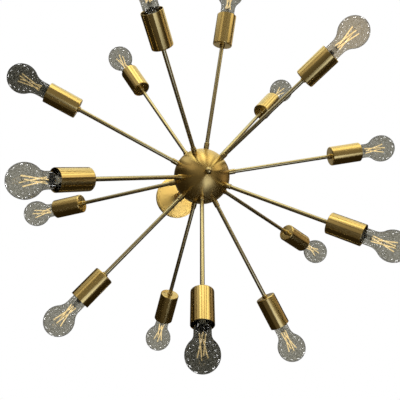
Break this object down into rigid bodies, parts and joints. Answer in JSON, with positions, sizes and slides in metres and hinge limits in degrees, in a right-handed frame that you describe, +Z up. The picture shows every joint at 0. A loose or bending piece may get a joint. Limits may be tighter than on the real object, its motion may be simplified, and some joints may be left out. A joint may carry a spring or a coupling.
{
  "type": "chandelier",
  "caption": "Sputnik ceiling chandelier: straight arms radiate from a round hub on a rigid stem, each ending in a cylindrical cup that holds a clear round filament bulb.",
  "frame": {"origin": "centre of the canopy in the plane of the ceiling, midway between the two screw slots of the crossbar", "axes": "+Z up into the ceiling, +X along the crossbar, so the whole light hangs below z = 0"},
  "size_m": [0.853, 0.8523, 0.6619],
  "materials": {
    "brass": "satin lacquered aged brass",
    "steel": "zinc plated",
    "holder": "matt black moulded",
    "lamp": "clear glass"
  },
  "bodies": {
    "canopy": {"crossbar": "steel", "canopy_studs": "steel", "ball_nuts": "brass", "ground_screw": "steel", "canopy": "brass"},
    "swivel": {"swivel_yoke": "brass", "swivel_washer": "brass", "swivel_lock_nut": "steel", "swivel_screw": "brass"},
    "chandelier": {"swivel_tongue": "brass", "stem": "brass", "hub_coupler": "brass", "hub_upper_shell": "brass", "hub_lower_shell": "brass", "hub_rod": "steel", "hub_rod_nut": "steel", "finial": "brass", "arm_collars": "brass", "arm_nuts": "steel", "lower_arm_rods": "brass", "middle_arm_rods": "brass", "upper_arm_rods": "brass", "cup_ferrules": "brass", "cup_nuts": "steel", "lampholders": "holder", "lower_cup_1": "brass", "lower_cup_2": "brass", "lower_cup_3": "brass", "lower_cup_4": "brass", "lower_cup_5": "brass", "middle_cup_1": "brass", "middle_cup_2": "brass", "middle_cup_3": "brass", "middle_cup_4": "brass", "middle_cup_5": "brass", "upper_cup_1": "brass", "upper_cup_2": "brass", "upper_cup_3": "brass", "upper_cup_4": "brass", "upper_cup_5": "brass"},
    "lower_lamp_1": {"lower_bulb_1": "lamp"},
    "lower_lamp_2": {"lower_bulb_2": "lamp"},
    "lower_lamp_3": {"lower_bulb_3": "lamp"},
    "lower_lamp_4": {"lower_bulb_4": "lamp"},
    "lower_lamp_5": {"lower_bulb_5": "lamp"},
    "middle_lamp_1": {"middle_bulb_1": "lamp"},
    "middle_lamp_2": {"middle_bulb_2": "lamp"},
    "middle_lamp_3": {"middle_bulb_3": "lamp"},
    "middle_lamp_4": {"middle_bulb_4": "lamp"},
    "middle_lamp_5": {"middle_bulb_5": "lamp"},
    "upper_lamp_1": {"upper_bulb_1": "lamp"},
    "upper_lamp_2": {"upper_bulb_2": "lamp"},
    "upper_lamp_3": {"upper_bulb_3": "lamp"},
    "upper_lamp_4": {"upper_bulb_4": "lamp"},
    "upper_lamp_5": {"upper_bulb_5": "lamp"}
  },
  "joints": [
    {"name": "canopy_turn", "type": "hinge", "parent": "canopy", "child": "swivel", "pos_m": [0, 0, -0.0469], "axis": [0, 0, 1], "range_deg": [-170, 170]},
    {"name": "stem_tilt", "type": "hinge", "parent": "swivel", "child": "chandelier", "pos_m": [0, 0, -0.0469], "axis": [1, 0, 0], "range_deg": [-30, 30]},
    {"name": "lower_lamp_1_out", "type": "slide", "parent": "chandelier", "child": "lower_lamp_1", "axis": [0.4755, 0.6545, -0.5878], "range_m": [0, 0.03]},
    {"name": "lower_lamp_2_out", "type": "slide", "parent": "chandelier", "child": "lower_lamp_2", "axis": [-0.475, 0.642, -0.6018], "range_m": [0, 0.03]},
    {"name": "lower_lamp_3_out", "type": "slide", "parent": "chandelier", "child": "lower_lamp_3", "axis": [-0.7649, -0.2634, -0.5878], "range_m": [0, 0.03]},
    {"name": "lower_lamp_4_out", "type": "slide", "parent": "chandelier", "child": "lower_lamp_4", "axis": [0.0213, -0.8138, -0.5807], "range_m": [0, 0.03]},
    {"name": "lower_lamp_5_out", "type": "slide", "parent": "chandelier", "child": "lower_lamp_5", "axis": [0.7694, -0.25, -0.5878], "range_m": [0, 0.03]},
    {"name": "middle_lamp_1_out", "type": "slide", "parent": "chandelier", "child": "middle_lamp_1", "axis": [0.0087, 0.9945, -0.1045], "range_m": [0, 0.03]},
    {"name": "middle_lamp_2_out", "type": "slide", "parent": "chandelier", "child": "middle_lamp_2", "axis": [-0.9474, 0.3078, -0.0872], "range_m": [0, 0.03]},
    {"name": "middle_lamp_3_out", "type": "slide", "parent": "chandelier", "child": "middle_lamp_3", "axis": [-0.5855, -0.8059, -0.0872], "range_m": [0, 0.03]},
    {"name": "middle_lamp_4_out", "type": "slide", "parent": "chandelier", "child": "middle_lamp_4", "axis": [0.5877, -0.8089, -0.0175], "range_m": [0, 0.03]},
    {"name": "middle_lamp_5_out", "type": "slide", "parent": "chandelier", "child": "middle_lamp_5", "axis": [0.9474, 0.3078, -0.0872], "range_m": [0, 0.03]},
    {"name": "upper_lamp_1_out", "type": "slide", "parent": "chandelier", "child": "upper_lamp_1", "axis": [0.5362, 0.7116, 0.454], "range_m": [0, 0.03]},
    {"name": "upper_lamp_2_out", "type": "slide", "parent": "chandelier", "child": "upper_lamp_2", "axis": [-0.526, 0.724, 0.4462], "range_m": [0, 0.03]},
    {"name": "upper_lamp_3_out", "type": "slide", "parent": "chandelier", "child": "upper_lamp_3", "axis": [-0.8558, -0.2617, 0.4462], "range_m": [0, 0.03]},
    {"name": "upper_lamp_4_out", "type": "slide", "parent": "chandelier", "child": "upper_lamp_4", "axis": [-0.0157, -0.8987, 0.4384], "range_m": [0, 0.03]},
    {"name": "upper_lamp_5_out", "type": "slide", "parent": "chandelier", "child": "upper_lamp_5", "axis": [0.8682, -0.2326, 0.4384], "range_m": [0, 0.03]}
  ]
}
